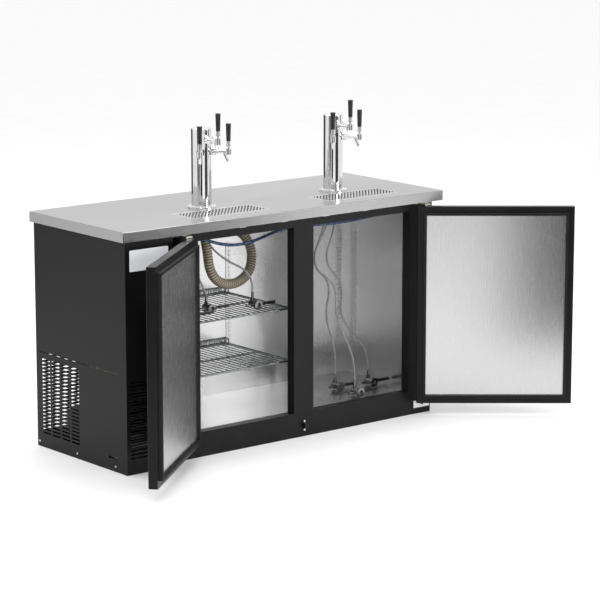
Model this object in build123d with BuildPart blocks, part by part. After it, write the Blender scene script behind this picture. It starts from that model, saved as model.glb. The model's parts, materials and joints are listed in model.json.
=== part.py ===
from build123d import *
import os
from math import cos, pi, radians, sin, tan

# Two-door direct-draw kegerator with two three-faucet towers.
# Millimetres. Origin: centre of the base on the floor. +X right, +Y to the back, +Z up.

os.makedirs("parts", exist_ok=True)

# ---------------------------------------------------------------- driving dimensions
WORKTOP_W, WORKTOP_D, WORKTOP_TOP = 1524.0, 600.0, 890.0
LIP_H = 38.0
SHEET = 1.5  # cabinet sheet metal
LINER_T = 1.0  # liner sheet metal

CAB_X = 751.5  # half the cabinet's width
BACK_Y = 285.0
FRAME_Y = -245.0  # front plane of the door frame
FRAME_DEPTH = 39.0
MACHINE_FRONT_Y = -294.0  # front plane of the machine-room panel
MACHINE_RIGHT_X = -540.0
SEAM_Z = 365.0  # between the upper side panel and the louvred cover
CAB_TOP = WORKTOP_TOP - LIP_H

OPEN_BOTTOM, OPEN_TOP = 94.0, 811.0
LEFT_OPENING = (-424.0, 59.0)
RIGHT_OPENING = (154.0, 635.0)

LINER_X0, LINER_X1 = -484.0, 698.0
LINER_BACK = 208.0
LINER_FLOOR, LINER_CEILING = 92.0, 820.0
BULKHEAD_X = -525.0

DOOR_BOTTOM, DOOR_TOP = 56.0, 836.0
DOOR_FRONT_Y, DOOR_BACK_Y = MACHINE_FRONT_Y, -260.0
DOOR_GASKET_Y = FRAME_Y - 1.0
LEFT_DOOR = (-500.0, 105.0)
RIGHT_DOOR = (109.0, 714.0)
PIVOT_IN = 31.0  # hinge pin, inwards from the door's hinge edge
PIVOT_Y = -288.0
DOOR_OPEN = 140.6
PIN_R = 4.0
GASKET_IN, GASKET_W = 24.0, 9.5
DOOR_LINER_IN = 34.0

TOWER_X = (-212.0, 426.0)
TOWER_Y = -32.0
TOWER_H = 300.0
COLUMN_R = 38.1
TOWER_TAIL_R = 36.0
TAIL_BOTTOM = 812.0
TAP_ANGLES = (-40.0, 0.0, 40.0)  # from straight ahead
TAP_HEIGHTS = (213.0, 258.0, 213.0)  # above the worktop
TAP_REACH = 104.0  # column axis to lever pivot

TRAY_W, TRAY_D, TRAY_DEPTH = 366.0, 145.0, 23.5
TRAY_Y = -157.5

STRIP_Z0, STRIP_Z1, STRIP_W, STRIP_T = 222.0, 690.0, 25.0, 2.0
SHELF_LEVELS = (290.0, 493.0)  # rim rod axis
SHELF_X0, SHELF_X1, SHELF_Y0, SHELF_Y1 = -474.0, 88.0, -195.0, 198.0
RIM_R, SIDE_R, POST_R, LIP_R, WIRE_R = 3.5, 3.2, 2.6, 3.0, 2.0

COUPLER_R = 18.0
COUPLER_GAP = 0.3
SHELF_COUPLERS = ((-343.0, -148.0), (-219.0, -85.0), (-39.0, -137.0))
FLOOR_COUPLERS = ((440.0, -171.0), (444.0, -46.0), (597.0, -69.0))
COUPLER_STEM = 45.0  # ring axis to hose end
COUPLER_STEM_Y = 20.0
COUPLER_PIVOT_X = 22.0

BEER_D, BLUE_D, DUCT_D = 8.0, 12.0, 38.0


def write(builder, name):
    """Label a finished piece and write its STEP file."""
    builder.part.label = name
    export_step(builder.part, f"parts/{name}.step")


def block(x, y, z, mode=Mode.ADD):
    """A box between the given low and high x, y and z, in the part being built."""
    centre = ((x[0] + x[1]) / 2, (y[0] + y[1]) / 2, (z[0] + z[1]) / 2)
    with Locations(centre):
        Box(x[1] - x[0], y[1] - y[0], z[1] - z[0], mode=mode)


def rod(start, end, radius, mode=Mode.ADD):
    """A round rod from start to end, in the part being built."""
    a, b = Vector(*start), Vector(*end)
    middle = Plane(origin=(a + b) * 0.5, z_dir=b - a)
    with Locations(middle.location):
        Cylinder(radius, (b - a).length, mode=mode)


def steps(first, last, pitch):
    """Evenly spaced positions from first to last, about pitch apart."""
    count = round((last - first) / pitch)
    return [first + (last - first) * n / count for n in range(count + 1)]


# ---------------------------------------------------------------- outer cabinet
PANEL_BACK = BACK_Y - SHEET
PAN_RIM = 25.0

with BuildPart() as base_pan:
    block((-CAB_X + SHEET, CAB_X - SHEET), (FRAME_Y + SHEET, PANEL_BACK), (0, PAN_RIM))
    block(
        (-CAB_X + 2 * SHEET, CAB_X - 2 * SHEET),
        (FRAME_Y + 2 * SHEET, PANEL_BACK - SHEET),
        (SHEET, PAN_RIM),
        Mode.SUBTRACT,
    )
write(base_pan, "base_pan")

with BuildPart() as side_right:
    block((CAB_X - SHEET, CAB_X), (FRAME_Y, PANEL_BACK), (0, CAB_TOP))
write(side_right, "side_right")

VENT_Z = steps(60.0, 340.0, 14.0)
VENT_X, VENT_HALF = (-735.0, -560.0), 3.0
with BuildPart() as back_panel:
    block((-CAB_X, CAB_X), (PANEL_BACK, BACK_Y), (0, CAB_TOP))
    for z in VENT_Z:
        block(VENT_X, (PANEL_BACK, BACK_Y), (z - VENT_HALF, z + VENT_HALF), Mode.SUBTRACT)
write(back_panel, "back_panel")

with BuildPart() as side_left_upper:
    block((-CAB_X, -CAB_X + SHEET), (FRAME_Y, PANEL_BACK), (SEAM_Z + 1, CAB_TOP))
write(side_left_upper, "side_left_upper")

# Removable cover over the machine room: a grid of vent slots and a low hand slot.
VENT_COLUMNS, VENT_ROWS = 4, 21
VENT_SLOT_W, VENT_SLOT_H, VENT_PITCH_Y, VENT_PITCH_Z = 52.0, 7.0, 63.0, 14.0
VENT_CENTRE_Y, VENT_CENTRE_Z = 127.0, 197.0
HAND_SLOT_Y, HAND_SLOT_Z = (-235.0, -178.0), (46.0, 54.0)
with BuildPart() as side_left_cover:
    block((-CAB_X, -CAB_X + SHEET), (FRAME_Y, PANEL_BACK), (0, SEAM_Z - 1))
    with BuildSketch(Plane.YZ.offset(-CAB_X)):
        with Locations((VENT_CENTRE_Y, VENT_CENTRE_Z)):
            with GridLocations(VENT_PITCH_Y, VENT_PITCH_Z, VENT_COLUMNS, VENT_ROWS):
                Rectangle(VENT_SLOT_W, VENT_SLOT_H)
    extrude(amount=SHEET, mode=Mode.SUBTRACT)
    block((-CAB_X, -CAB_X + SHEET), HAND_SLOT_Y, HAND_SLOT_Z, Mode.SUBTRACT)
write(side_left_cover, "side_left_cover")

# Folded front panel of the machine room, proud of the door frame.
with BuildPart() as front_panel:
    block((-CAB_X, MACHINE_RIGHT_X), (MACHINE_FRONT_Y, FRAME_Y), (0, CAB_TOP))
    block(
        (-CAB_X + SHEET, MACHINE_RIGHT_X - SHEET),
        (MACHINE_FRONT_Y + SHEET, FRAME_Y),
        (0, CAB_TOP),
        Mode.SUBTRACT,
    )
    for z in VENT_Z:
        block(
            VENT_X,
            (MACHINE_FRONT_Y, MACHINE_FRONT_Y + SHEET),
            (z - VENT_HALF, z + VENT_HALF),
            Mode.SUBTRACT,
        )
write(front_panel, "front_panel")

BADGE_X, BADGE_Z = (-732.0, -562.0), (744.0, 821.0)
with BuildPart() as badge_plate:
    block(BADGE_X, (MACHINE_FRONT_Y - SHEET, MACHINE_FRONT_Y), BADGE_Z)
    fillet(badge_plate.edges().filter_by(Axis.Y), 4)
write(badge_plate, "badge_plate")

# ---------------------------------------------------------------- door frame
FRAME_INNER_Y = FRAME_Y + FRAME_DEPTH
FRAME_RIGHT_X = CAB_X - SHEET
LOCK_X, LOCK_Z, LOCK_STUD_R = 110.0, 42.0, 3.0


def box_section(x, z):
    """A folded box section, closed all round, in the part being built."""
    block(x, (FRAME_Y, FRAME_INNER_Y), z)
    block(
        (x[0] + SHEET, x[1] - SHEET),
        (FRAME_Y + SHEET, FRAME_INNER_Y - SHEET),
        (z[0] + SHEET, z[1] - SHEET),
        Mode.SUBTRACT,
    )


with BuildPart() as frame_top_rail:
    box_section((MACHINE_RIGHT_X, FRAME_RIGHT_X), (OPEN_TOP, CAB_TOP))
write(frame_top_rail, "frame_top_rail")

with BuildPart() as frame_kick:
    block(
        (MACHINE_RIGHT_X, FRAME_RIGHT_X), (FRAME_Y, FRAME_Y + SHEET), (0, OPEN_BOTTOM)
    )
    block(
        (MACHINE_RIGHT_X, FRAME_RIGHT_X),
        (FRAME_Y + SHEET, FRAME_INNER_Y),
        (OPEN_BOTTOM - SHEET, OPEN_BOTTOM),
    )
    rod((LOCK_X, FRAME_Y, LOCK_Z), (LOCK_X, FRAME_Y - 12, LOCK_Z), LOCK_STUD_R)
write(frame_kick, "frame_kick")

with BuildPart() as frame_uprights:
    for x in (
        (MACHINE_RIGHT_X, LEFT_OPENING[0]),
        (LEFT_OPENING[1], RIGHT_OPENING[0]),
        (RIGHT_OPENING[1], FRAME_RIGHT_X),
    ):
        box_section(x, (OPEN_BOTTOM, OPEN_TOP))
write(frame_uprights, "frame_uprights")

# Turn knob under the mullion, on a stud of the kick panel.
LOCK_CLEAR = 0.05
KNOB_R, KNOB_FRONT_Y = 11.0, FRAME_Y - 18.0
with BuildPart() as lock_knob:
    rod((LOCK_X, FRAME_Y - 2, LOCK_Z), (LOCK_X, KNOB_FRONT_Y, LOCK_Z), KNOB_R)
    fillet(lock_knob.edges().group_by(Axis.Y)[0], 3)
    rod(
        (LOCK_X, FRAME_Y - 2, LOCK_Z),
        (LOCK_X, FRAME_Y - 13, LOCK_Z),
        LOCK_STUD_R + LOCK_CLEAR,
        Mode.SUBTRACT,
    )
    block(
        (LOCK_X - 1.5, LOCK_X + 1.5),
        (KNOB_FRONT_Y, KNOB_FRONT_Y + 2),
        (LOCK_Z - 8, LOCK_Z + 8),
        Mode.SUBTRACT,
    )
write(lock_knob, "lock_knob")

# ---------------------------------------------------------------- insulation and liner
TOWER_HOLE_R = TOWER_TAIL_R + 0.5

with BuildPart() as insulation:
    block((BULKHEAD_X, FRAME_RIGHT_X), (FRAME_INNER_Y, PANEL_BACK), (PAN_RIM, CAB_TOP))
    block(
        (LINER_X0 - LINER_T, LINER_X1 + LINER_T),
        (FRAME_INNER_Y, LINER_BACK + LINER_T),
        (LINER_FLOOR - LINER_T, LINER_CEILING + LINER_T),
        Mode.SUBTRACT,
    )
    for x in TOWER_X:
        rod((x, TOWER_Y, LINER_CEILING), (x, TOWER_Y, CAB_TOP), TOWER_HOLE_R, Mode.SUBTRACT)
write(insulation, "insulation")

LINER_Y = (FRAME_INNER_Y, LINER_BACK)
WALL_Z = (LINER_FLOOR, LINER_CEILING)
with BuildPart() as liner_floor:
    block(
        (LINER_X0 - LINER_T, LINER_X1 + LINER_T),
        (FRAME_INNER_Y, LINER_BACK + LINER_T),
        (LINER_FLOOR - LINER_T, LINER_FLOOR),
    )
write(liner_floor, "liner_floor")

with BuildPart() as liner_back:
    block((LINER_X0, LINER_X1), (LINER_BACK, LINER_BACK + LINER_T), WALL_Z)
write(liner_back, "liner_back")

with BuildPart() as liner_sides:
    block((LINER_X0 - LINER_T, LINER_X0), (FRAME_INNER_Y, LINER_BACK + LINER_T), WALL_Z)
    block((LINER_X1, LINER_X1 + LINER_T), (FRAME_INNER_Y, LINER_BACK + LINER_T), WALL_Z)
write(liner_sides, "liner_sides")

with BuildPart() as liner_ceiling:
    block(
        (LINER_X0 - LINER_T, LINER_X1 + LINER_T),
        (FRAME_INNER_Y, LINER_BACK + LINER_T),
        (LINER_CEILING, LINER_CEILING + LINER_T),
    )
    for x in TOWER_X:
        rod(
            (x, TOWER_Y, LINER_CEILING - 1),
            (x, TOWER_Y, LINER_CEILING + 2),
            TOWER_HOLE_R,
            Mode.SUBTRACT,
        )
write(liner_ceiling, "liner_ceiling")

# ---------------------------------------------------------------- worktop, trays, grates
SKIN_X, SKIN_Y = WORKTOP_W / 2, WORKTOP_D / 2
SKIN_UNDER = WORKTOP_TOP - SHEET
TRAY_BOTTOM = WORKTOP_TOP - TRAY_DEPTH
TRAY_T = 1.2


def worktop_openings(z):
    """Cut the tray and tower openings through the part being built, over a height z."""
    for x in TOWER_X:
        rod((x, TOWER_Y, CAB_TOP - 1), (x, TOWER_Y, WORKTOP_TOP + 1), TOWER_HOLE_R, Mode.SUBTRACT)
        block(
            (x - TRAY_W / 2, x + TRAY_W / 2),
            (TRAY_Y - TRAY_D / 2, TRAY_Y + TRAY_D / 2),
            z,
            Mode.SUBTRACT,
        )


with BuildPart() as worktop_skin:
    block((-SKIN_X, SKIN_X), (-SKIN_Y, SKIN_Y), (CAB_TOP, WORKTOP_TOP))
    fillet(worktop_skin.edges().filter_by(Axis.Z), 5)
    fillet(worktop_skin.edges().group_by(Axis.Z)[-1], 3)
    block(
        (-SKIN_X + SHEET, SKIN_X - SHEET),
        (-SKIN_Y + SHEET, SKIN_Y - SHEET),
        (CAB_TOP, SKIN_UNDER),
        Mode.SUBTRACT,
    )
    worktop_openings((SKIN_UNDER, WORKTOP_TOP))
write(worktop_skin, "worktop_skin")

with BuildPart() as worktop_core:
    block(
        (-SKIN_X + SHEET, SKIN_X - SHEET),
        (-SKIN_Y + SHEET, SKIN_Y - SHEET),
        (CAB_TOP, SKIN_UNDER),
    )
    fillet(worktop_core.edges().filter_by(Axis.Z), 4)
    worktop_openings((TRAY_BOTTOM, SKIN_UNDER))
write(worktop_core, "worktop_core")

GRATE_T = 3.0
with BuildPart() as drip_trays:
    for x in TOWER_X:
        block(
            (x - TRAY_W / 2, x + TRAY_W / 2),
            (TRAY_Y - TRAY_D / 2, TRAY_Y + TRAY_D / 2),
            (TRAY_BOTTOM, WORKTOP_TOP - 0.5),
        )
        block(
            (x - TRAY_W / 2 + TRAY_T, x + TRAY_W / 2 - TRAY_T),
            (TRAY_Y - TRAY_D / 2 + TRAY_T, TRAY_Y + TRAY_D / 2 - TRAY_T),
            (TRAY_BOTTOM + TRAY_T, WORKTOP_TOP),
            Mode.SUBTRACT,
        )
write(drip_trays, "drip_trays")

# Grates: a rim with slanting bars between, set into the trays.
GRATE_RIM = 15.0
SLOT_W, SLOT_PITCH = 6.0, 15.0
GRATE_W, GRATE_D = TRAY_W - 2 * TRAY_T, TRAY_D - 2 * TRAY_T
with BuildPart() as drip_grates:
    with BuildSketch(Plane.XY.offset(WORKTOP_TOP - GRATE_T - 0.5)):
        with Locations([(x, TRAY_Y) for x in TOWER_X]):
            Rectangle(GRATE_W - 2 * GRATE_RIM, GRATE_D - 2 * GRATE_RIM)
        for x in TOWER_X:
            slots = steps(x - GRATE_W / 2 - 60, x + GRATE_W / 2 + 60, SLOT_PITCH)
            with Locations([(s, TRAY_Y) for s in slots]):
                Rectangle(SLOT_W, 3 * GRATE_D, rotation=-40, mode=Mode.SUBTRACT)
    extrude(amount=GRATE_T)
    with BuildSketch(Plane.XY.offset(WORKTOP_TOP - GRATE_T - 0.5)):
        with Locations([(x, TRAY_Y) for x in TOWER_X]):
            Rectangle(GRATE_W, GRATE_D)
            Rectangle(GRATE_W - 2 * GRATE_RIM, GRATE_D - 2 * GRATE_RIM, mode=Mode.SUBTRACT)
    extrude(amount=GRATE_T)
write(drip_grates, "drip_grates")

# ---------------------------------------------------------------- shelf strips and clips
STRIP_BACK_X = (-446.0, 96.0, 659.0)
STRIP_SIDE_Y = (-150.0, 151.0)
STRIP_SLOT_W, STRIP_SLOT_H, STRIP_SLOT_PITCH = 4.0, 10.0, 16.0
STRIP_SLOTS = int((STRIP_Z1 - STRIP_Z0 - 12) / STRIP_SLOT_PITCH)
STRIP_MID = (STRIP_Z0 + STRIP_Z1) / 2

strip_planes = [
    Plane(origin=(x, LINER_BACK, STRIP_MID), x_dir=(1, 0, 0), z_dir=(0, -1, 0)) for x in STRIP_BACK_X
]
for y in STRIP_SIDE_Y:
    strip_planes.append(Plane(origin=(LINER_X0, y, STRIP_MID), x_dir=(0, 1, 0), z_dir=(1, 0, 0)))
    strip_planes.append(Plane(origin=(LINER_X1, y, STRIP_MID), x_dir=(0, 1, 0), z_dir=(-1, 0, 0)))

with BuildPart() as shelf_strips:
    for plane in strip_planes:
        with BuildSketch(plane):
            Rectangle(STRIP_W, STRIP_Z1 - STRIP_Z0)
            with GridLocations(0, STRIP_SLOT_PITCH, 1, STRIP_SLOTS):
                Rectangle(STRIP_SLOT_W, STRIP_SLOT_H, mode=Mode.SUBTRACT)
        extrude(amount=STRIP_T)
write(shelf_strips, "shelf_strips")

# Two clips on the left wall, one on the back strip and one on the mullion, for each shelf.
CLIP_REACH, CLIP_HALF, CLIP_H = 16.0, 9.0, 8.0
with BuildPart() as shelf_clips:
    for level in SHELF_LEVELS:
        z = (level - RIM_R - CLIP_H, level - RIM_R)
        for y in STRIP_SIDE_Y:
            block(
                (LINER_X0 + STRIP_T, LINER_X0 + STRIP_T + CLIP_REACH),
                (y - CLIP_HALF, y + CLIP_HALF),
                z,
            )
        clip_x = (SHELF_X1 - CLIP_HALF, SHELF_X1 + CLIP_HALF)
        block(clip_x, (LINER_BACK - STRIP_T - CLIP_REACH, LINER_BACK - STRIP_T), z)
        block(clip_x, (FRAME_INNER_Y, FRAME_INNER_Y + CLIP_REACH), z)
write(shelf_clips, "shelf_clips")

# ---------------------------------------------------------------- wire shelves
REAR_LIP = 20.0


def wire_shelf(level):
    """Rim rods, wires from front to back, and a raised rear lip, in the part being built."""
    x0, x1 = SHELF_X0, SHELF_X1
    y0, y1 = SHELF_Y0, SHELF_Y1
    wire_z = level + RIM_R - WIRE_R - 0.5
    lip_z = level + REAR_LIP
    for y in (y0, (y0 + y1) / 2, y1):
        rod((x0 - 2, y, level), (x1 + 2, y, level), RIM_R)
    for x in (x0, x1):
        rod((x, y0 - 2, level), (x, y1 + 2, level), SIDE_R)
        rod((x, y1, level), (x, y1, lip_z), POST_R)
    for x in steps(x0 + 20, x1 - 20, 25.0):
        rod((x, y0, wire_z), (x, y1, wire_z), WIRE_R)
        rod((x, y1, level), (x, y1, lip_z), WIRE_R)
    rod((x0 - 2, y1, lip_z), (x1 + 2, y1, lip_z), LIP_R)


with BuildPart() as wire_shelves:
    for level in SHELF_LEVELS:
        wire_shelf(level)
write(wire_shelves, "wire_shelves")

# ---------------------------------------------------------------- machine room
COMPRESSOR_X, COMPRESSOR_Y = -640.0, 130.0
COMPRESSOR_R, COMPRESSOR_Z = 68.0, (14.0, 164.0)
FOOT_HALF_X, FOOT_HALF_Y = 85.0, 80.0
PIPE_R, PIPE_TOP = 6.0, 200.0
with BuildPart() as compressor:
    block(
        (COMPRESSOR_X - FOOT_HALF_X, COMPRESSOR_X + FOOT_HALF_X),
        (COMPRESSOR_Y - FOOT_HALF_Y, COMPRESSOR_Y + FOOT_HALF_Y),
        (SHEET, COMPRESSOR_Z[0]),
    )
    rod(
        (COMPRESSOR_X, COMPRESSOR_Y, COMPRESSOR_Z[0]),
        (COMPRESSOR_X, COMPRESSOR_Y, COMPRESSOR_Z[1]),
        COMPRESSOR_R,
    )
    fillet(compressor.edges().group_by(Axis.Z)[-1], 40)
    rod((COMPRESSOR_X, COMPRESSOR_Y, 160), (COMPRESSOR_X, COMPRESSOR_Y, PIPE_TOP), PIPE_R)
write(compressor, "compressor")

# Finned condenser with its fan motor on a bracket behind it.
FAN_X, FAN_Z = -645.0, 190.0
CONDENSER_X, CONDENSER_Z = (-740.0, -550.0), (40.0, 340.0)
FIN_FRONT_Y, FIN_ROOT_Y, FIN_BACK_Y = -235.0, -200.0, -190.0
BRACKET_Y = (-90.0, -60.0)
MOTOR_R, MOTOR_FRONT_Y, SHAFT_FRONT_Y = 32.0, -110.0, -160.0
MOTOR_SHAFT_R = 3.0
with BuildPart() as condenser:
    block(CONDENSER_X, (FIN_FRONT_Y, FIN_BACK_Y), CONDENSER_Z)
    for z in steps(CONDENSER_Z[0] + 10, CONDENSER_Z[1] - 10, 10.0):
        block(
            (CONDENSER_X[0] + 8, CONDENSER_X[1] - 8),
            (FIN_FRONT_Y, FIN_ROOT_Y),
            (z - 3, z + 3),
            Mode.SUBTRACT,
        )
    for low in (CONDENSER_X[0], CONDENSER_X[1] - 3):
        block((low, low + 3), (FIN_BACK_Y, BRACKET_Y[1]), (SHEET, 60))
    block(CONDENSER_X, BRACKET_Y, (SHEET, 5))
    block((FAN_X - 12, FAN_X + 12), BRACKET_Y, (5, FAN_Z))
    rod((FAN_X, MOTOR_FRONT_Y, FAN_Z), (FAN_X, BRACKET_Y[1], FAN_Z), MOTOR_R)
    rod((FAN_X, SHAFT_FRONT_Y, FAN_Z), (FAN_X, MOTOR_FRONT_Y, FAN_Z), MOTOR_SHAFT_R)
write(condenser, "condenser")

FAN_R, HUB_R, BLADES = 85.0, 20.0, 5
FAN_Y = (-165.0, -125.0)
BLADE_PITCH, BLADE_W, BLADE_T = 28.0, 48.0, 2.0
with BuildPart() as condenser_fan:
    rod((FAN_X, FAN_Y[0], FAN_Z), (FAN_X, FAN_Y[1], FAN_Z), HUB_R)
    blade_mid = (HUB_R + FAN_R) / 2 - 1
    for n in range(BLADES):
        turn = 2 * pi * n / BLADES
        middle = (FAN_X + blade_mid * cos(turn), sum(FAN_Y) / 2, FAN_Z + blade_mid * sin(turn))
        blade = Plane(origin=middle, x_dir=(cos(turn), 0, sin(turn)), z_dir=(0, -1, 0))
        with Locations(blade.location * Location((0, 0, 0), (BLADE_PITCH, 0, 0))):
            Box(FAN_R - HUB_R + 2, BLADE_W, BLADE_T)
    rod(
        (FAN_X, FAN_Y[0] + 2, FAN_Z),
        (FAN_X, FAN_Y[1] + 1, FAN_Z),
        MOTOR_SHAFT_R + 0.05,
        Mode.SUBTRACT,
    )
write(condenser_fan, "condenser_fan")

# Evaporator cover on the left wall, with the duct collar and the hose bush on its side.
EVAP_X, EVAP_Y, EVAP_Z = (LINER_X0, -335.0), (-140.0, 150.0), (700.0, LINER_CEILING)
EVAP_FACE = -330.0
GRILLE_Y = (-120.0, 130.0)
DUCT_START, BLUE_START = (EVAP_FACE, 42.0, 790.0), (EVAP_FACE, -100.0, 792.0)
with BuildPart() as evaporator_cover:
    block(EVAP_X, EVAP_Y, EVAP_Z)
    block(
        (EVAP_X[0], EVAP_X[1] - 2),
        (EVAP_Y[0] + 2, EVAP_Y[1] - 2),
        (EVAP_Z[0] + 2, EVAP_Z[1] - 2),
        Mode.SUBTRACT,
    )
    for z in steps(EVAP_Z[0] + 14, EVAP_Z[0] + 54, 10.0):
        block((EVAP_X[1] - 2, EVAP_X[1]), GRILLE_Y, (z - 3, z + 3), Mode.SUBTRACT)
    for at, size in ((DUCT_START, DUCT_D), (BLUE_START, BLUE_D)):
        rod((EVAP_X[1], at[1], at[2]), at, size / 2 + 3)
write(evaporator_cover, "evaporator_cover")

# ---------------------------------------------------------------- hinge brackets and strikes
LEG_T, LEG_HALF = 6.0, 14.0
PLATE_T = 3.0
PIN_LENGTH = 20.0
HINGES = ((LEFT_DOOR[0] + PIVOT_IN, -1), (RIGHT_DOOR[1] - PIVOT_IN, 1))
PLATE_BOTTOM = 24.0
STRIKE_X = (-189.0, 6.0, 208.0, 403.0)
STRIKE_HALF, STRIKE_Z = 14.0, (841.0, 844.0, 850.0)

with BuildPart() as door_brackets:
    for pivot_x, side in HINGES:
        ends = sorted((pivot_x - 20 * side, pivot_x + 62 * side))
        leg_x = (pivot_x - LEG_HALF, pivot_x + LEG_HALF)
        leg_y = (PIVOT_Y - 10, FRAME_Y)
        bottom = DOOR_BOTTOM - 2
        top = DOOR_TOP + 2
        block(ends, (FRAME_Y - PLATE_T, FRAME_Y), (PLATE_BOTTOM, bottom))
        block(leg_x, leg_y, (bottom - LEG_T, bottom))
        rod((pivot_x, PIVOT_Y, bottom), (pivot_x, PIVOT_Y, bottom + PIN_LENGTH), PIN_R)
        block(ends, (FRAME_Y - PLATE_T, FRAME_Y), (top, CAB_TOP))
        block(leg_x, leg_y, (top, top + LEG_T))
        rod((pivot_x, PIVOT_Y, top - PIN_LENGTH), (pivot_x, PIVOT_Y, top), PIN_R)
    for x in STRIKE_X:
        strike_x = (x - STRIKE_HALF, x + STRIKE_HALF)
        block(strike_x, (FRAME_Y - 10, FRAME_Y), STRIKE_Z[:2])
        block(strike_x, (FRAME_Y - 2, FRAME_Y), STRIKE_Z[1:])
write(door_brackets, "door_brackets")

# ---------------------------------------------------------------- doors
PIN_CLEAR = 0.06


def swung(piece, pivot_x, angle):
    """The piece turned from closed to open about the hinge pin."""
    return Location((pivot_x, PIVOT_Y, 0), (0, 0, angle)) * Location((-pivot_x, -PIVOT_Y, 0)) * piece


def frame_ring(outer_x, inset, width, y):
    """A rectangular ring on the door's back, in the part being built."""
    z = (DOOR_BOTTOM + inset, DOOR_TOP - inset)
    x = (outer_x[0] + inset, outer_x[1] - inset)
    block(x, y, z)
    block(
        (x[0] + width, x[1] - width), y, (z[0] + width, z[1] - width), Mode.SUBTRACT
    )


for side, door_x, pivot_x, angle in (
    ("left", LEFT_DOOR, HINGES[0][0], -DOOR_OPEN),
    ("right", RIGHT_DOOR, HINGES[1][0], DOOR_OPEN),
):
    with BuildPart() as closed_shell:
        block(door_x, (DOOR_FRONT_Y, DOOR_BACK_Y), (DOOR_BOTTOM, DOOR_TOP))
        fillet(closed_shell.edges().group_by(Axis.Y)[0], 4)
        block(
            (door_x[0] + SHEET, door_x[1] - SHEET),
            (DOOR_FRONT_Y + SHEET, DOOR_BACK_Y - SHEET),
            (DOOR_BOTTOM + SHEET, DOOR_TOP - SHEET),
            Mode.SUBTRACT,
        )
        block(
            (door_x[0] + DOOR_LINER_IN + 6, door_x[1] - DOOR_LINER_IN - 6),
            (DOOR_BACK_Y - SHEET, DOOR_BACK_Y),
            (DOOR_BOTTOM + DOOR_LINER_IN + 6, DOOR_TOP - DOOR_LINER_IN - 6),
            Mode.SUBTRACT,
        )
        rod(
            (pivot_x, PIVOT_Y, DOOR_BOTTOM - 1),
            (pivot_x, PIVOT_Y, DOOR_TOP + 1),
            PIN_R + PIN_CLEAR,
            Mode.SUBTRACT,
        )
    with BuildPart() as closed_liner:
        block(
            (door_x[0] + DOOR_LINER_IN, door_x[1] - DOOR_LINER_IN),
            (DOOR_BACK_Y, DOOR_BACK_Y + SHEET),
            (DOOR_BOTTOM + DOOR_LINER_IN, DOOR_TOP - DOOR_LINER_IN),
        )
    with BuildPart() as closed_gasket:
        frame_ring(door_x, GASKET_IN, GASKET_W, (DOOR_BACK_Y, DOOR_GASKET_Y))
        for inset in (GASKET_IN + 2, GASKET_IN + 5.5):
            groove_y = (DOOR_GASKET_Y - 3, DOOR_GASKET_Y)
            z = (DOOR_BOTTOM + inset, DOOR_TOP - inset)
            x = (door_x[0] + inset, door_x[1] - inset)
            for low, high in ((x[0], x[0] + 2), (x[1] - 2, x[1])):
                block((low, high), groove_y, z, Mode.SUBTRACT)
            for low, high in ((z[0], z[0] + 2), (z[1] - 2, z[1])):
                block(x, groove_y, (low, high), Mode.SUBTRACT)
    for piece, closed in (
        ("shell", closed_shell),
        ("liner", closed_liner),
        ("gasket", closed_gasket),
    ):
        with BuildPart() as opened:
            add(swung(closed.part, pivot_x, angle))
        write(opened, f"door_{side}_{piece}")

# ---------------------------------------------------------------- towers
FLANGE_R, FLANGE_H = 54.0, 6.0
CAP_H = 10.0
COLUMN_T = 1.5
COLUMN_Z = (WORKTOP_TOP + FLANGE_H, WORKTOP_TOP + TOWER_H - CAP_H)
SHANK_R = 11.0


def tap_planes(tower_x):
    """One plane per faucet: origin on the column's axis, x outwards, z up."""
    for angle, height in zip(TAP_ANGLES, TAP_HEIGHTS):
        outward = (sin(radians(angle)), -cos(radians(angle)), 0)
        yield Plane(
            origin=(tower_x, TOWER_Y, WORKTOP_TOP + height), x_dir=outward, z_dir=(0, 0, 1)
        )


def local_rod(plane, start, end, radius, mode=Mode.ADD):
    """A rod given by points in a plane's own coordinates."""
    a = plane.from_local_coords(Vector(*start))
    b = plane.from_local_coords(Vector(*end))
    rod(a, b, radius, mode)


with BuildPart() as tower_flanges:
    for x in TOWER_X:
        rod((x, TOWER_Y, WORKTOP_TOP), (x, TOWER_Y, WORKTOP_TOP + FLANGE_H), FLANGE_R)
        rod((x, TOWER_Y, TAIL_BOTTOM), (x, TOWER_Y, WORKTOP_TOP), TOWER_TAIL_R)
        rod(
            (x, TOWER_Y, TAIL_BOTTOM + 6),
            (x, TOWER_Y, WORKTOP_TOP + FLANGE_H),
            TOWER_TAIL_R - 2,
            Mode.SUBTRACT,
        )
write(tower_flanges, "tower_flanges")

with BuildPart() as tower_caps:
    for x in TOWER_X:
        rod((x, TOWER_Y, COLUMN_Z[1]), (x, TOWER_Y, COLUMN_Z[1] + CAP_H), COLUMN_R + 0.6)
    fillet(tower_caps.edges().group_by(Axis.Z)[-1], 5)
write(tower_caps, "tower_caps")

with BuildPart() as tower_columns:
    for x in TOWER_X:
        rod((x, TOWER_Y, COLUMN_Z[0]), (x, TOWER_Y, COLUMN_Z[1]), COLUMN_R)
        rod((x, TOWER_Y, COLUMN_Z[0]), (x, TOWER_Y, COLUMN_Z[1]), COLUMN_R - COLUMN_T, Mode.SUBTRACT)
        for plane in tap_planes(x):
            local_rod(plane, (20, 0, 0), (60, 0, 0), SHANK_R + 0.1, Mode.SUBTRACT)
write(tower_columns, "tower_columns")

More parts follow.
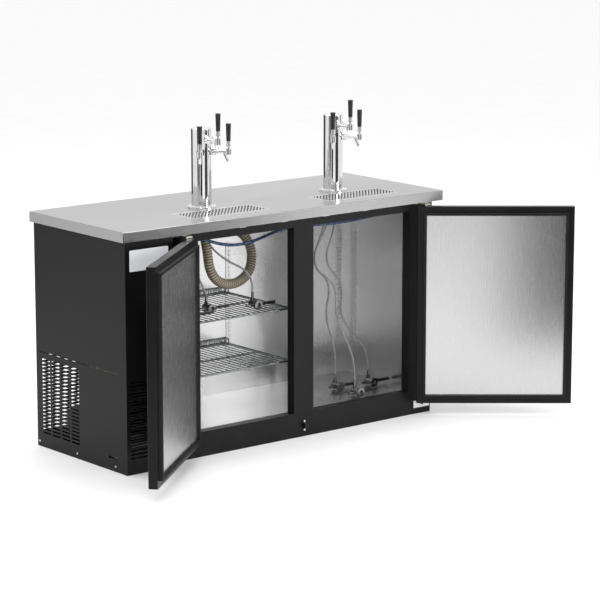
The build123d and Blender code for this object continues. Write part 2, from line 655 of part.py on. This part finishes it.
# Faucet: shank, collar, barrel, bonnet with a lever socket, slanting spout.
COLLAR_R, COLLAR_END = 15.0, 58.0
NUT_R, NUT_END = 12.5, 66.0
BARREL_R = 8.5
BONNET_R, BONNET_BOTTOM, BONNET_TOP = 11.5, -11.0, 10.0
SOCKET_R, SOCKET_BOTTOM = 7.0, 3.0
SPOUT_R = 6.0
SPOUT_TOP, SPOUT_END = (TAP_REACH - 18.0, 0, -3.0), (TAP_REACH - 2.0, 0, -36.0)
with BuildPart() as faucet_bodies:
    for x in TOWER_X:
        for plane in tap_planes(x):
            local_rod(plane, (28, 0, 0), (46, 0, 0), SHANK_R)
            local_rod(plane, (COLUMN_R + 1.5, 0, 0), (COLLAR_END, 0, 0), COLLAR_R)
            local_rod(plane, (COLLAR_END, 0, 0), (NUT_END, 0, 0), NUT_R)
            local_rod(plane, (NUT_END, 0, 0), (TAP_REACH, 0, 0), BARREL_R)
            local_rod(plane, (TAP_REACH, 0, BONNET_BOTTOM), (TAP_REACH, 0, BONNET_TOP), BONNET_R)
            local_rod(plane, SPOUT_TOP, SPOUT_END, SPOUT_R)
            local_rod(
                plane,
                (TAP_REACH, 0, SOCKET_BOTTOM),
                (TAP_REACH, 0, BONNET_TOP + 1),
                SOCKET_R,
                Mode.SUBTRACT,
            )
write(faucet_bodies, "faucet_bodies")

# Lever: stem, collar, ferrule and tapered handle, one per faucet.
LEVER_PIVOT_Z = 12.0
HANDLE_Z, HANDLE_TOP = 39.0, 105.0
tap_number = 0
for x in TOWER_X:
    for plane in tap_planes(x):
        tap_number += 1
        with BuildPart() as lever:
            local_rod(plane, (TAP_REACH, 0, LEVER_PIVOT_Z - 1.5), (TAP_REACH, 0, 21), 4)
            local_rod(plane, (TAP_REACH, 0, 20), (TAP_REACH, 0, 28), 8.5)
            local_rod(plane, (TAP_REACH, 0, 27), (TAP_REACH, 0, HANDLE_Z), 7)
            handle_middle = plane.from_local_coords(Vector(TAP_REACH, 0, (HANDLE_Z + HANDLE_TOP) / 2))
            with Locations(handle_middle):
                Cone(8, 10, HANDLE_TOP - HANDLE_Z)
            fillet(lever.edges().group_by(Axis.Z)[-1], 3)
        write(lever, f"tap_lever_{tap_number}")

# ---------------------------------------------------------------- keg couplers
SHELF_COUPLER_Z = SHELF_LEVELS[1] + RIM_R + COUPLER_GAP + COUPLER_R
FLOOR_COUPLER_Z = LINER_FLOOR + COUPLER_GAP + COUPLER_R
COUPLERS = [(x, y, SHELF_COUPLER_Z) for x, y in SHELF_COUPLERS]
COUPLERS += [(x, y, FLOOR_COUPLER_Z) for x, y in FLOOR_COUPLERS]
EAR_T, EAR_GAP = 3.5, 5.3
LEVER_LENGTH, LEVER_HALF = 68.0, 6.0

with BuildPart() as coupler_bodies:
    for x, y, z in COUPLERS:
        rod((x, y - 20, z), (x, y - 8, z), COUPLER_R)
        rod((x, y - 10, z), (x, y + 30, z), 13)
        rod((x, y - 21, z), (x, y - 12, z), 9, Mode.SUBTRACT)
        rod((x - 46, y, z), (x - 10, y, z), 4.5)
        rod((x - 24, y, z), (x - 10, y, z), 7.5)
        rod((x, y + COUPLER_STEM_Y, z), (x, y + COUPLER_STEM_Y, z + COUPLER_STEM), 5)
        rod((x, y + COUPLER_STEM_Y, z + 10), (x, y + COUPLER_STEM_Y, z + 22), 8)
        for low in (-EAR_GAP - EAR_T, EAR_GAP):
            block(
                (x + 8, x + COUPLER_PIVOT_X + 6), (y - 7, y + 7), (z + low, z + low + EAR_T)
            )
        pin_x = x + COUPLER_PIVOT_X
        rod((pin_x, y, z - EAR_GAP), (pin_x, y, z + EAR_GAP), 2.5)
write(coupler_bodies, "coupler_bodies")

for number, (x, y, z) in enumerate(COUPLERS, 1):
    pin_x = x + COUPLER_PIVOT_X
    with BuildPart() as coupler_lever:
        rod((pin_x, y, z - 5), (pin_x, y, z + 5), 6.5)
        block((pin_x, pin_x + LEVER_LENGTH), (y - LEVER_HALF, y + LEVER_HALF), (z - 5, z + 5))
        rod((pin_x, y, z - 6), (pin_x, y, z + 6), 2.55, Mode.SUBTRACT)
    write(coupler_lever, f"coupler_lever_{number}")

# ---------------------------------------------------------------- screws
SCREW_R, SCREW_H = 4.0, 1.6
COVER_SCREW_Y = (-222.0, 22.0, 270.0)
with BuildPart() as screws:
    for y in COVER_SCREW_Y:
        rod((-CAB_X, y, 20), (-CAB_X - SCREW_H, y, 20), SCREW_R)
    rod((-560, MACHINE_FRONT_Y, 380), (-560, MACHINE_FRONT_Y - SCREW_H, 380), SCREW_R)
    for dz in (-17, 17):
        rod((LOCK_X, FRAME_Y, LOCK_Z + dz), (LOCK_X, FRAME_Y - SCREW_H, LOCK_Z + dz), SCREW_R)
    for pivot_x, side in HINGES:
        for dx in (22, 38, 54):
            x = pivot_x + dx * side
            for z in (38, CAB_TOP - 7):
                rod((x, FRAME_Y - PLATE_T, z), (x, FRAME_Y - PLATE_T - SCREW_H, z), SCREW_R)
    for x in TOWER_X:
        with Locations((x, TOWER_Y, WORKTOP_TOP + FLANGE_H + SCREW_H / 2)):
            with PolarLocations(46, 4, start_angle=45):
                Cylinder(SCREW_R, SCREW_H)
write(screws, "screws")

# ---------------------------------------------------------------- hoses
COUPLER_ENDS = [(x, y + COUPLER_STEM_Y, z + COUPLER_STEM) for x, y, z in COUPLERS]
LINE_PORTS = ((-22.0, 14.0), (0.0, 24.0), (22.0, 12.0))


def port(tower, number):
    """Where a beer line leaves the plate under a tower."""
    dx, dy = LINE_PORTS[number]
    return (TOWER_X[tower] + dx, TOWER_Y + dy, TAIL_BOTTOM)


HOSES = {
    "beer_line_1": (
        BEER_D,
        [port(0, 0), (-236, -20, 765), (-268, -34, 716), (-312, -62, 676), (-340, -100, 632),
         (-345, -126, 598), COUPLER_ENDS[0]],
    ),
    "beer_line_2": (
        BEER_D,
        [port(0, 1), (-214, -10, 764), (-232, -18, 712), (-248, -30, 660), (-234, -52, 612),
         COUPLER_ENDS[1]],
    ),
    "beer_line_3": (
        BEER_D,
        [port(0, 2), (-186, -22, 766), (-158, -38, 718), (-120, -70, 680), (-72, -104, 652),
         (-42, -120, 610), COUPLER_ENDS[2]],
    ),
    "beer_line_4": (
        BEER_D,
        [port(1, 0), (396, -20, 762), (362, -30, 704), (322, -44, 652), (322, -58, 592),
         (376, -76, 552), (394, -96, 500), (372, -116, 440), (378, -134, 370), (412, -146, 300),
         (436, -152, 230), COUPLER_ENDS[3]],
    ),
    "beer_line_5": (
        BEER_D,
        [port(1, 1), (420, -8, 760), (388, -8, 704), (350, -10, 650), (352, -14, 590),
         (402, -20, 546), (420, -24, 490), (398, -26, 430), (402, -28, 362), (430, -28, 292),
         (446, -27, 226), COUPLER_ENDS[4]],
    ),
    "beer_line_6": (
        BEER_D,
        [port(1, 2), (446, -22, 760), (424, -26, 700), (392, -32, 646), (400, -38, 588),
         (452, -42, 542), (466, -46, 482), (450, -48, 418), (478, -50, 352), (540, -50, 292),
         (592, -49, 228), COUPLER_ENDS[5]],
    ),
    "blue_hose": (
        BLUE_D,
        [BLUE_START, (-262, -100, 786), (-185, -100, 757), (-107, -100, 742), (-20, -100, 748),
         (75, -100, 772), (170, -100, 784), (290, -100, 778), (410, -100, 774), (520, -100, 779),
         (620, -100, 788), (LINER_X1, -100, 790)],
    ),
    "air_duct": (
        DUCT_D,
        [DUCT_START, (-262, 42, 793), (-185, 40, 790), (-110, 35, 793), (-40, 26, 792), (16, 16, 763),
         (46, 4, 716), (46, -8, 660), (18, -22, 611), (-40, -34, 583), (-108, -42, 583),
         (-164, -47, 611), (-192, -49, 660), (-198, -48, 716), (-207, -46, 766),
         (TOWER_X[0] - 3, TOWER_Y - 13, TAIL_BOTTOM)],
    ),
}
MIN_BEND = 2.4  # least bend radius, in diameters: the limp duct's loop is the tightest


def bend_radii(points):
    """The largest tangent arc that each corner's two runs allow."""
    radii = []
    for before, at, after in zip(points, points[1:], points[2:]):
        first, second = Vector(*at) - Vector(*before), Vector(*after) - Vector(*at)
        turn = radians(first.get_angle(second))
        radii.append(0.45 * min(first.length, second.length) / tan(turn / 2))
    return radii


for name, (diameter, points) in HOSES.items():
    radii = bend_radii(points)
    with BuildPart() as hose:
        with BuildLine() as route:
            path = FilletPolyline(*points, radius=radii)
        start = Plane(origin=path @ 0, z_dir=path % 0)
        with BuildSketch(start):
            Circle(diameter / 2)
        sweep()
    length = path.length
    section = pi * diameter**2 / 4
    tight = min(radii)
    note = "" if tight >= MIN_BEND * diameter else "  TIGHT"
    print(
        f"{name}: {length:.0f} long, volume / (section x length) {hose.part.volume / section / length:.3f},"
        f" least radius {tight:.0f}{note}, radii {[round(r) for r in radii]}"
    )
    write(hose, name)
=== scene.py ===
import json
import math

import bpy
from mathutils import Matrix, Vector


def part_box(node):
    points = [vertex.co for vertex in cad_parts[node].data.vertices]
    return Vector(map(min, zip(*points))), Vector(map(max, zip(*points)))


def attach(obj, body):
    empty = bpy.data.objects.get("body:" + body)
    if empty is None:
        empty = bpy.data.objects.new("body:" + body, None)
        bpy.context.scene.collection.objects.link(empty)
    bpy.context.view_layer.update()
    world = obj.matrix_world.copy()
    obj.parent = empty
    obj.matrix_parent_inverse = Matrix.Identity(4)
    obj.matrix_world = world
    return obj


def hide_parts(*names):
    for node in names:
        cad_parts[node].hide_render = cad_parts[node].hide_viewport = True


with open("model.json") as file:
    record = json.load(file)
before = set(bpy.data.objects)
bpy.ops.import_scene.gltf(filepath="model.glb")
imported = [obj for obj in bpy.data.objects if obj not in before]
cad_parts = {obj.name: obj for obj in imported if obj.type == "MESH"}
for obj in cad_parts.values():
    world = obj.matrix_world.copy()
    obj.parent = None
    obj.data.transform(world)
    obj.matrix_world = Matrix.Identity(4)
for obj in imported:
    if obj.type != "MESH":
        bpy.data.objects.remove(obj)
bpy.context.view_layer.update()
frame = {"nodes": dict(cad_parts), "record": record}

MM = 0.001
scene = bpy.context.scene
scene.view_settings.view_transform = "Standard"

# ---------------------------------------------------------------- camera
# From the front left, looking a little down with a long lens.
EYE = Vector((-6.074, -7.806, 2.495))
AZIMUTH, PITCH = math.radians(39.18), math.radians(11.38)
LENS = 158.4

camera_data = bpy.data.cameras.new("camera")
camera_data.sensor_width = 36.0
camera_data.lens = LENS
camera_data.clip_end = 100.0
camera = bpy.data.objects.new("camera", camera_data)
scene.collection.objects.link(camera)
look = Vector(
    (
        math.sin(AZIMUTH) * math.cos(PITCH),
        math.cos(AZIMUTH) * math.cos(PITCH),
        -math.sin(PITCH),
    )
)
camera.location = EYE
camera.rotation_mode = "QUATERNION"
camera.rotation_quaternion = look.to_track_quat("-Z", "Y")
scene.camera = camera


# ---------------------------------------------------------------- material tools
# Name of the mesh attribute that holds each ring's groove depth, used as the mask for the duct's
# painted groove shade.
GROOVE_SHADE = "groove_shade"


class Nodes:
    """A material's node tree, with short calls for the nodes used here."""

    def __init__(self, name):
        self.material = bpy.data.materials.new(name)
        self.material.use_nodes = True
        self.tree = self.material.node_tree
        self.tree.nodes.clear()
        self.out = self.add("ShaderNodeOutputMaterial")
        self.place = self.add("ShaderNodeTexCoord").outputs["Object"]

    def add(self, kind, **values):
        """A new node, with its attributes set to the given values."""
        node = self.tree.nodes.new(kind)
        for key, value in values.items():
            setattr(node, key, value)
        return node

    def link(self, a, b):
        self.tree.links.new(a, b)

    def noise(self, scale, detail=4.0, stretch=(1, 1, 1)):
        """Noise in the object's own space, stretched along its axes."""
        mapping = self.add("ShaderNodeMapping")
        mapping.inputs["Scale"].default_value = stretch
        self.link(self.place, mapping.inputs["Vector"])
        noise = self.add("ShaderNodeTexNoise")
        noise.inputs["Scale"].default_value = scale
        noise.inputs["Detail"].default_value = detail
        self.link(mapping.outputs["Vector"], noise.inputs["Vector"])
        return noise.outputs["Fac"]

    def spread(self, value, low, high):
        """The noise value mapped to low..high."""
        remap = self.add("ShaderNodeMapRange")
        remap.inputs["From Min"].default_value = 0.3
        remap.inputs["From Max"].default_value = 0.7
        remap.inputs["To Min"].default_value = low
        remap.inputs["To Max"].default_value = high
        self.link(value, remap.inputs["Value"])
        return remap.outputs["Result"]

    def tint(self, value, dark, light):
        """Two colours mixed by a noise value."""
        ramp = self.add("ShaderNodeValToRGB")
        ramp.color_ramp.elements[0].position = 0.3
        ramp.color_ramp.elements[0].color = (*dark, 1)
        ramp.color_ramp.elements[1].position = 0.7
        ramp.color_ramp.elements[1].color = (*light, 1)
        self.link(value, ramp.inputs["Fac"])
        return ramp.outputs["Color"]

    def bump(self, value, strength, distance):
        bump = self.add("ShaderNodeBump")
        bump.inputs["Strength"].default_value = strength
        bump.inputs["Distance"].default_value = distance
        self.link(value, bump.inputs["Height"])
        return bump.outputs["Normal"]

    def shader(self, metallic, color, roughness, normal=None, **fixed):
        """A principled shader; color and roughness are sockets."""
        bsdf = self.add("ShaderNodeBsdfPrincipled")
        bsdf.inputs["Metallic"].default_value = metallic
        self.link(color, bsdf.inputs["Base Color"])
        self.link(roughness, bsdf.inputs["Roughness"])
        if normal is not None:
            self.link(normal, bsdf.inputs["Normal"])
        for key, value in fixed.items():
            bsdf.inputs[key.replace("_", " ")].default_value = value
        return bsdf.outputs["BSDF"]

    def done(self, shader):
        self.link(shader, self.out.inputs["Surface"])
        return self.material


def brushed(name, dark, light, rough, stretch, grain=260.0, strength=0.06):
    """Brushed steel: fine streaks along one axis."""
    n = Nodes(name)
    streaks = n.noise(grain, 6.0, stretch)
    color = n.tint(streaks, dark, light)
    return n.done(
        n.shader(
            1.0,
            color,
            n.spread(streaks, rough[0], rough[1]),
            n.bump(streaks, strength, 0.0004),
            Anisotropic=0.4,
        )
    )


def coated(name, dark, light, rough, grain=900.0, strength=0.12, specular=0.5):
    """Powder coat or moulded plastic: a fine orange peel and faint colour variation."""
    n = Nodes(name)
    peel = n.noise(grain, 3.0)
    clouds = n.noise(6.0, 3.0)
    return n.done(
        n.shader(
            0.0,
            n.tint(clouds, dark, light),
            n.spread(clouds, rough[0], rough[1]),
            n.bump(peel, strength, 0.0003),
            Specular_IOR_Level=specular,
        )
    )


def polished(name, dark, light, rough):
    """Polished metal with faint smears."""
    n = Nodes(name)
    smears = n.noise(18.0, 4.0, (1, 1, 0.3))
    return n.done(n.shader(1.0, n.tint(smears, dark, light), n.spread(smears, rough[0], rough[1])))


def hose_material(name, dark, light, rough, transmission):
    """Flexible hose with faint streaks."""
    n = Nodes(name)
    streaks = n.noise(120.0, 3.0)
    return n.done(
        n.shader(
            0.0,
            n.tint(streaks, dark, light),
            n.spread(streaks, rough[0], rough[1]),
            Transmission_Weight=transmission,
            IOR=1.42,
        )
    )


def ribbed_material(name, groove_shade, dark, light, rough):
    """Corrugated duct: painted shade darkens the grooves, mixed in by the mesh's own groove depth
    value.
    """
    n = Nodes(name)
    clouds = n.noise(60.0, 4.0)
    # Painted shade: the colour is mixed toward a dark groove colour by the groove depth.
    groove_shade_mask = n.add("ShaderNodeAttribute", attribute_name=GROOVE_SHADE)
    mix = n.add("ShaderNodeMix", data_type="RGBA")
    n.link(groove_shade_mask.outputs["Fac"], mix.inputs[0])
    n.link(n.tint(clouds, dark, light), mix.inputs[6])
    mix.inputs[7].default_value = (*groove_shade, 1)
    weave = n.noise(900.0, 2.0)
    return n.done(
        n.shader(0.0, mix.outputs[2], n.spread(clouds, rough[0], rough[1]), n.bump(weave, 0.2, 0.0003))
    )


def banded(name, split_z, handle_dark, handle_light):
    """A tap lever: black handle above split_z, chrome ferrule and stem below."""
    n = Nodes(name)
    smears = n.noise(40.0, 3.0)
    handle = n.shader(0.0, n.tint(smears, handle_dark, handle_light), n.spread(smears, 0.16, 0.24))
    metal = n.shader(
        1.0, n.tint(smears, (0.55, 0.55, 0.56), (0.8, 0.8, 0.81)), n.spread(smears, 0.05, 0.12)
    )
    parts = n.add("ShaderNodeSeparateXYZ")
    n.link(n.place, parts.inputs["Vector"])
    above = n.add("ShaderNodeMath", operation="GREATER_THAN")
    above.inputs[1].default_value = split_z
    n.link(parts.outputs["Z"], above.inputs[0])
    mix = n.add("ShaderNodeMixShader")
    n.link(above.outputs["Value"], mix.inputs["Fac"])
    n.link(metal, mix.inputs[1])
    n.link(handle, mix.inputs[2])
    return n.done(mix.outputs["Shader"])


ALONG_X, ALONG_Z = (0.02, 1, 1), (1, 1, 0.02)
BLACK_COAT = coated(
    "black_coat", (0.005, 0.005, 0.0055), (0.008, 0.008, 0.0085), (0.3, 0.4), specular=0.15
)
WORKTOP = brushed("worktop_steel", (0.36,) * 3, (0.39,) * 3, (0.2, 0.27), ALONG_X, 900.0, 0.004)
LINER = brushed("liner_steel", (0.56,) * 3, (0.59,) * 3, (0.22, 0.25), ALONG_Z, 900.0, 0.001)
DOOR_STEEL = brushed("door_steel", (0.53,) * 3, (0.56,) * 3, (0.25, 0.28), ALONG_Z, 900.0, 0.001)
TRAY = brushed("tray_steel", (0.5,) * 3, (0.56,) * 3, (0.22, 0.3), ALONG_X, 900.0, 0.004)
TRAY_WELL = coated("tray_well", (0.62, 0.62, 0.62), (0.7, 0.7, 0.7), (0.35, 0.5), 600.0, 0.05)
ZINC = brushed("zinc", (0.65, 0.65, 0.64), (0.8, 0.8, 0.79), (0.25, 0.35), (1, 1, 1), 400.0)
CHROME = polished("chrome", (0.7, 0.7, 0.71), (0.82, 0.82, 0.83), (0.03, 0.06))
WIRE = polished("wire", (0.14, 0.16, 0.16), (0.26, 0.29, 0.29), (0.2, 0.32))
FITTING = polished("fitting", (0.12, 0.12, 0.125), (0.3, 0.3, 0.31), (0.14, 0.24))
PLASTIC = coated(
    "black_plastic", (0.005, 0.005, 0.006), (0.01, 0.01, 0.011), (0.2, 0.3), 500.0, specular=0.3
)
RUBBER = coated(
    "gasket_rubber", (0.008, 0.008, 0.009), (0.014, 0.014, 0.015), (0.45, 0.6), 700.0, specular=0.25
)
BADGE = coated("badge", (0.74, 0.76, 0.8), (0.86, 0.88, 0.9), (0.2, 0.3), 300.0, 0.02)
FOAM = coated("foam", (0.6, 0.52, 0.3), (0.75, 0.68, 0.45), (0.8, 0.95), 250.0, 0.4)
COIL = brushed("coil", (0.3, 0.3, 0.3), (0.5, 0.5, 0.5), (0.4, 0.6), ALONG_Z)
CLEAR_HOSE = hose_material("clear_hose", (0.26, 0.27, 0.27), (0.5, 0.52, 0.52), (0.08, 0.16), 0.6)
BLUE_HOSE = hose_material("blue_hose", (0.016, 0.03, 0.075), (0.04, 0.07, 0.15), (0.2, 0.34), 0.0)
# The first colour is painted shade for the grooves; the next two are the duct's own tone.
DUCT = ribbed_material(
    "duct", (0.035, 0.03, 0.022), (0.26, 0.22, 0.16), (0.34, 0.3, 0.225), (0.5, 0.7)
)

FINISH = {
    "black_coat": BLACK_COAT,
    "brushed": TRAY,
    "liner": LINER,
    "chrome": CHROME,
    "black_plastic": PLASTIC,
    "gasket": RUBBER,
    "foam": FOAM,
    "badge": BADGE,
    "wire": WIRE,
    "clear_hose": CLEAR_HOSE,
    "blue_hose": BLUE_HOSE,
    "duct": DUCT,
    "coil": COIL,
    "zinc": ZINC,
}
SPECIAL = {
    "worktop_skin": WORKTOP,
    "drip_trays": TRAY_WELL,
    "coupler_bodies": FITTING,
    "door_left_liner": DOOR_STEEL,
    "door_right_liner": DOOR_STEEL,
}
HANDLE_LENGTH = 0.066
HANDLE_DARK, HANDLE_LIGHT = (0.006, 0.006, 0.007), (0.012, 0.012, 0.013)


def dress(node, material):
    """Give a CAD node's object one material."""
    mesh = frame["nodes"][node].data
    mesh.materials.clear()
    mesh.materials.append(material)


for subpart in frame["record"]["subparts"]:
    node = subpart["node"]
    if node.startswith("tap_lever"):
        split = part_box(node)[1][2] - HANDLE_LENGTH
        dress(node, banded(f"{node}_finish", split, HANDLE_DARK, HANDLE_LIGHT))
    else:
        dress(node, SPECIAL.get(node, FINISH[subpart["material_slot"]]))

# ---------------------------------------------------------------- hoses
TOWER_X, TOWER_Y, TAIL_BOTTOM = (-212.0, 426.0), -32.0, 812.0
LINE_PORTS = ((-22.0, 14.0), (0.0, 24.0), (22.0, 12.0))
STEM_Y, STEM_Z = 20.0, 45.0
SHELF_Z, FLOOR_Z = 514.8, 110.3
COUPLERS = (
    (-343.0, -148.0, SHELF_Z),
    (-219.0, -85.0, SHELF_Z),
    (-39.0, -137.0, SHELF_Z),
    (440.0, -171.0, FLOOR_Z),
    (444.0, -46.0, FLOOR_Z),
    (597.0, -69.0, FLOOR_Z),
)
ENDS = [(x, y + STEM_Y, z + STEM_Z) for x, y, z in COUPLERS]
EVAPORATOR_X, LINER_X1 = -330.0, 698.0


def port(tower, number):
    """Where a beer line leaves the plate under a tower."""
    dx, dy = LINE_PORTS[number]
    return (TOWER_X[tower] + dx, TOWER_Y + dy, TAIL_BOTTOM)


# Each route is in millimetres, with the hose's length in metres.
BEER_LINES = {
    "beer_line_1": (
        0.315,
        [port(0, 0), (-236, -20, 765), (-268, -34, 716), (-312, -62, 676), (-340, -100, 632),
         (-345, -126, 598), ENDS[0]],
    ),
    "beer_line_2": (
        0.268,
        [port(0, 1), (-214, -10, 764), (-232, -18, 712), (-248, -30, 660), (-234, -52, 612),
         ENDS[1]],
    ),
    "beer_line_3": (
        0.332,
        [port(0, 2), (-186, -22, 766), (-158, -38, 718), (-120, -70, 680), (-72, -104, 652),
         (-42, -120, 610), ENDS[2]],
    ),
    "beer_line_4": (
        0.731,
        [port(1, 0), (396, -20, 762), (362, -30, 704), (322, -44, 652), (322, -58, 592),
         (376, -76, 552), (394, -96, 500), (372, -116, 440), (378, -134, 370), (412, -146, 300),
         (436, -152, 230), ENDS[3]],
    ),
    "beer_line_5": (
        0.704,
        [port(1, 1), (420, -8, 760), (388, -8, 704), (350, -10, 650), (352, -14, 590),
         (402, -20, 546), (420, -24, 490), (398, -26, 430), (402, -28, 362), (430, -28, 292),
         (446, -27, 226), ENDS[4]],
    ),
    "beer_line_6": (
        0.736,
        [port(1, 2), (446, -22, 760), (424, -26, 700), (392, -32, 646), (400, -38, 588),
         (452, -42, 542), (466, -46, 482), (450, -48, 418), (478, -50, 352), (540, -50, 292),
         (592, -49, 228), ENDS[5]],
    ),
}
BLUE_ROUTE = [
    (EVAPORATOR_X, -100, 792), (-262, -100, 786), (-185, -100, 757), (-107, -100, 742),
    (-20, -100, 748), (75, -100, 772), (170, -100, 784), (290, -100, 778), (410, -100, 774),
    (520, -100, 779), (620, -100, 788), (LINER_X1, -100, 790),
]
DUCT_ROUTE = [
    (EVAPORATOR_X, 42, 790), (-262, 42, 793), (-185, 40, 790), (-110, 35, 793), (-40, 26, 792),
    (16, 16, 763), (46, 4, 716), (46, -8, 660), (18, -22, 611), (-40, -34, 583),
    (-108, -42, 583), (-164, -47, 611), (-192, -49, 660), (-198, -48, 716), (-207, -46, 766),
    (TOWER_X[0] - 3, TOWER_Y - 13, TAIL_BOTTOM),
]


def route_curve(name, points, radius):
    """A smooth curve with the route's points as its control points."""
    curve = bpy.data.curves.new(name, "CURVE")
    curve.dimensions = "3D"
    curve.resolution_u = 12
    curve.bevel_depth = radius
    curve.bevel_resolution = 6
    curve.use_fill_caps = radius > 0
    spline = curve.splines.new("NURBS")
    spline.points.add(len(points) - 1)
    for point, (x, y, z) in zip(spline.points, points):
        point.co = (x * MM, y * MM, z * MM, 1.0)
    spline.order_u = 3
    spline.use_endpoint_u = True
    obj = bpy.data.objects.new(name, curve)
    scene.collection.objects.link(obj)
    return obj


def plain_hose(node, points, diameter, material):
    """A round hose in place of its CAD tube."""
    hose = route_curve(f"{node}_hose", points, diameter / 2)
    hose.data.materials.append(material)
    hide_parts(node)
    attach(hose, "cabinet")


BEER_DIAMETER = 0.008
BLUE_DIAMETER, BLUE_LENGTH = 0.012, 1.038
for node, (length, points) in BEER_LINES.items():
    plain_hose(node, points, BEER_DIAMETER, CLEAR_HOSE)
plain_hose("blue_hose", BLUE_ROUTE, BLUE_DIAMETER, BLUE_HOSE)


def along(points, pitch):
    """Points spaced pitch apart along a polyline."""
    out, left = [points[0].copy()], pitch
    for a, b in zip(points, points[1:]):
        run = (b - a).length
        at = left
        while at <= run:
            out.append(a.lerp(b, at / run))
            at += pitch
        left = at - run
    if (out[-1] - points[-1]).length > pitch / 4:
        out.append(points[-1].copy())
    return out


RIB_SAMPLES = 8  # rings of points for each rib


def ribbed_tube(name, route, radius, rib, pitch, sides=36):
    """A tube with rounded ribs along a route, closed at both ends, and the line it follows."""
    centre = route_curve(f"{name}_line", route, 0.0)
    line = bpy.data.meshes.new_from_object(centre)
    points = along([v.co.copy() for v in line.vertices], pitch / RIB_SAMPLES)
    bpy.data.objects.remove(centre)
    bpy.data.meshes.remove(line)
    verts, faces, groove_shade_values = [], [], []
    side = Vector((0, 1, 0))
    for n, p in enumerate(points):
        ahead = (points[min(n + 1, len(points) - 1)] - points[max(n - 1, 0)]).normalized()
        side = (side - ahead * side.dot(ahead)).normalized()
        other = ahead.cross(side)
        dip = (0.5 - 0.5 * math.cos(2 * math.pi * n / RIB_SAMPLES)) ** 2
        groove_shade_values.extend([dip] * sides)
        r = radius - rib * dip
        for k in range(sides):
            turn = 2 * math.pi * k / sides
            verts.append(p + side * (r * math.cos(turn)) + other * (r * math.sin(turn)))
    for n in range(len(points) - 1):
        for k in range(sides):
            a, b = n * sides + k, n * sides + (k + 1) % sides
            faces.append((a, b, b + sides, a + sides))
    faces.append(tuple(reversed(range(sides))))
    faces.append(tuple(range((len(points) - 1) * sides, len(points) * sides)))
    mesh = bpy.data.meshes.new(name)
    mesh.from_pydata(verts, [], faces)
    mesh.update()
    # The groove depths are stored as the mask for the painted shade in the grooves.
    mesh.attributes.new(GROOVE_SHADE, "FLOAT", "POINT").data.foreach_set("value", groove_shade_values)
    for face in mesh.polygons:
        face.use_smooth = len(face.vertices) == 4
    obj = bpy.data.objects.new(name, mesh)
    scene.collection.objects.link(obj)
    return obj, points


DUCT_DIAMETER, DUCT_LENGTH = 0.038, 0.924
RIB_DEPTH, RIB_PITCH = 0.003, 0.0105
duct, duct_line = ribbed_tube("air_duct_tube", DUCT_ROUTE, DUCT_DIAMETER / 2, RIB_DEPTH, RIB_PITCH)
duct.data.materials.append(DUCT)
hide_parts("air_duct")
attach(duct, "cabinet")


# ---------------------------------------------------------------- floor, lights, world
# name: place, what it points at, width and height, power
LIGHTS = {
    "key": ((-3.5, -4.0, 4.5), (0, 0, 0.5), (3.0, 2.0), 120.0),
    "front": ((2.2, -5.0, 1.6), (0.1, 0, 0.5), (2.0, 2.0), 110.0),
    "top": ((0.0, 0.5, 4.0), (0, 0, 0.5), (4.0, 4.0), 90.0),
}
WORLD_STRENGTH = 1.02


def area_light(name, place, target, size, power):
    """A soft rectangular light."""
    data = bpy.data.lights.new(name, "AREA")
    data.shape = "RECTANGLE"
    data.size, data.size_y = size
    data.energy = power
    lamp = bpy.data.objects.new(name, data)
    lamp.location = place
    lamp.rotation_mode = "QUATERNION"
    lamp.rotation_quaternion = (Vector(target) - Vector(place)).to_track_quat("-Z", "Y")
    scene.collection.objects.link(lamp)


for name, (place, target, size, power) in LIGHTS.items():
    area_light(name, place, target, size, power)

world = bpy.data.worlds.new("studio")
world.use_nodes = True
world.node_tree.nodes["Background"].inputs["Color"].default_value = (1, 1, 1, 1)
world.node_tree.nodes["Background"].inputs["Strength"].default_value = WORLD_STRENGTH
scene.world = world


def sheet(name, corners, material):
    """A flat or bent staging sheet from pairs of corners."""
    mesh = bpy.data.meshes.new(name)
    faces = [(n, n + 1, n + 3, n + 2) for n in range(0, len(corners) - 2, 2)]
    mesh.from_pydata(corners, [], faces)
    mesh.materials.append(material)
    obj = bpy.data.objects.new(name, mesh)
    scene.collection.objects.link(obj)
    return obj


FLOOR_HALF, FLOOR_Z = 30.0, -0.0005
sheet(
    "floor",
    [(x, y, FLOOR_Z) for x in (-FLOOR_HALF, FLOOR_HALF) for y in (-FLOOR_HALF, FLOOR_HALF)],
    coated("floor_paint", (0.92, 0.92, 0.92), (0.94, 0.94, 0.94), (0.7, 0.8), 40.0, 0.01),
)

# Flags round the set, which only mirrors and gloss see: the dark streaks in polished metal.
# Each spans angles from the direction of the camera, positive to its right, and has a shade.
FLAG_RADIUS, FLAG_HEIGHT, FLAG_STEP = 3.0, 1.25, 5.0
FLAGS = {
    "flag_behind": (-150, -105, 0.03),
    "flag_left": (-45, -12, 0.1),
    "flag_middle": (-10, 14, 0.01),
    "flag_right": (37, 75, 0.03),
}
# A nearer, straight one darkens the free side of the right door's steel.
DOOR_FLAG_START, DOOR_FLAG_END, DOOR_FLAG_SHADE = (0.134, -1.644), (0.9, -2.27), 0.02


def flag(name, corners, shade):
    """A dark upright sheet that the camera and the matt surfaces don't see."""
    cloth = coated(name, (shade,) * 3, (shade * 1.2,) * 3, (0.8, 0.9), 30.0, 0.01)
    obj = sheet(name, corners, cloth)
    obj.visible_camera = False
    obj.visible_diffuse = False
    obj.visible_shadow = False


def upright(x, y):
    """The foot and head of a flag's edge."""
    return [(x, y, 0.0), (x, y, FLAG_HEIGHT)]


for name, (start, stop, shade) in FLAGS.items():
    corners = []
    for n in range(int((stop - start) / FLAG_STEP) + 1):
        turn = math.radians(start + n * FLAG_STEP) - AZIMUTH
        corners += upright(FLAG_RADIUS * math.sin(turn), -FLAG_RADIUS * math.cos(turn))
    flag(name, corners, shade)
flag("flag_door", upright(*DOOR_FLAG_START) + upright(*DOOR_FLAG_END), DOOR_FLAG_SHADE)
